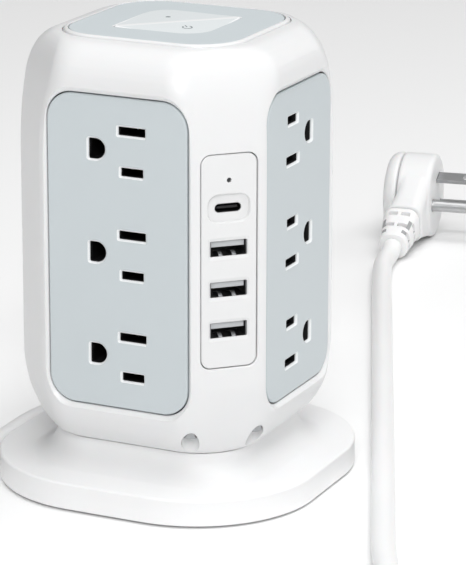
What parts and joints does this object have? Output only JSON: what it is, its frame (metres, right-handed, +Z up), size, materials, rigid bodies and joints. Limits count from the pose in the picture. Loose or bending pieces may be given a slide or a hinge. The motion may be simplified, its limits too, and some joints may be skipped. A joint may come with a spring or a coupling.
{
  "type": "tower power strip",
  "caption": "Tower power strip with grey outlet panels on its faces, a corner USB strip, a rocker switch on top, a wide base plate and a mains lead ending in a flat round plug.",
  "frame": {"origin": "centre of the underside, on the plane of the feet", "axes": "+Z up; -Y towards the front outlet panel; +X towards the right outlet panel; the USB strip is on the corner between +X and -Y"},
  "size_m": [0.2251, 0.4434, 0.1469],
  "materials": {
    "housing_white": "satin-gloss white ABS, fine moulded surface",
    "grey_panel_plastic": "satin pale blue-grey plastic",
    "light_grey_plastic": "satin very pale grey plastic",
    "black_plastic": "black moulded plastic",
    "contact_brass": "stamped brass",
    "screw_steel": "zinc-plated steel",
    "tongue_plastic": "pale grey contact carrier",
    "circuit_board": "green solder mask",
    "varistor_epoxy": "blue dipped epoxy",
    "light_pipe": "clear light pipe",
    "foot_rubber": "matt dark rubber",
    "cord_pvc": "soft white PVC",
    "tie_black": "woven hook-and-loop strap",
    "pin_nickel": "nickel-plated brass",
    "plug_white": "satin white moulded PVC"
  },
  "bodies": {
    "housing": {"base_plate": "housing_white", "base_screw_1": "screw_steel", "base_screw_2": "screw_steel", "base_screw_3": "screw_steel", "base_screw_4": "screw_steel", "bottom_cover": "housing_white", "coil_tie": "tie_black", "contact_carrier_back": "black_plastic", "contact_carrier_front": "black_plastic", "contact_carrier_left": "black_plastic", "contact_carrier_right": "black_plastic", "cord_coil": "cord_pvc", "cord_gland": "cord_pvc", "cord_lead": "cord_pvc", "foot_1": "foot_rubber", "foot_2": "foot_rubber", "foot_3": "foot_rubber", "foot_4": "foot_rubber", "ground_bus": "contact_brass", "housing_screw_1": "screw_steel", "housing_screw_2": "screw_steel", "housing_screw_3": "screw_steel", "housing_screw_4": "screw_steel", "housing_shell": "housing_white", "led_light_pipe": "light_pipe", "line_bus": "contact_brass", "neutral_bus": "contact_brass", "outlet_panel_back": "grey_panel_plastic", "outlet_panel_front": "grey_panel_plastic", "outlet_panel_left": "grey_panel_plastic", "outlet_panel_right": "grey_panel_plastic", "plug_back_cap": "plug_white", "plug_blade_1": "pin_nickel", "plug_blade_2": "pin_nickel", "plug_body": "plug_white", "plug_ground_pin": "pin_nickel", "plug_strain_relief": "cord_pvc", "power_cord": "cord_pvc", "rocker_axle": "screw_steel", "surge_board": "circuit_board", "switch_body": "black_plastic", "top_bezel": "housing_white", "top_plate": "grey_panel_plastic", "usb_a_shell_1": "screw_steel", "usb_a_shell_2": "screw_steel", "usb_a_shell_3": "screw_steel", "usb_a_tongue_1": "tongue_plastic", "usb_a_tongue_2": "tongue_plastic", "usb_a_tongue_3": "tongue_plastic", "usb_board": "circuit_board", "usb_c_shell": "screw_steel", "usb_c_tongue": "black_plastic", "usb_panel": "housing_white", "varistor_1": "varistor_epoxy", "varistor_2": "varistor_epoxy"},
    "rocker_body": {"rocker": "light_grey_plastic", "rocker_plunger": "contact_brass"},
    "lever_body": {"contact_lever": "contact_brass"}
  },
  "joints": [
    {"name": "rocker_tilt", "type": "hinge", "parent": "housing", "child": "rocker_body", "pos_m": [0, 0, 0.1428], "axis": [-0.7071, -0.7071, 0], "range_deg": [0, 6]},
    {"name": "lever_tilt", "type": "hinge", "parent": "housing", "child": "lever_body", "pos_m": [0, 0, 0.1276], "axis": [-0.7071, -0.7071, 0], "range_deg": [-4.8, 0]}
  ],
  "couplings": [
    {"joint": "lever_tilt", "follows": "rocker_tilt", "ratio": -0.8}
  ]
}
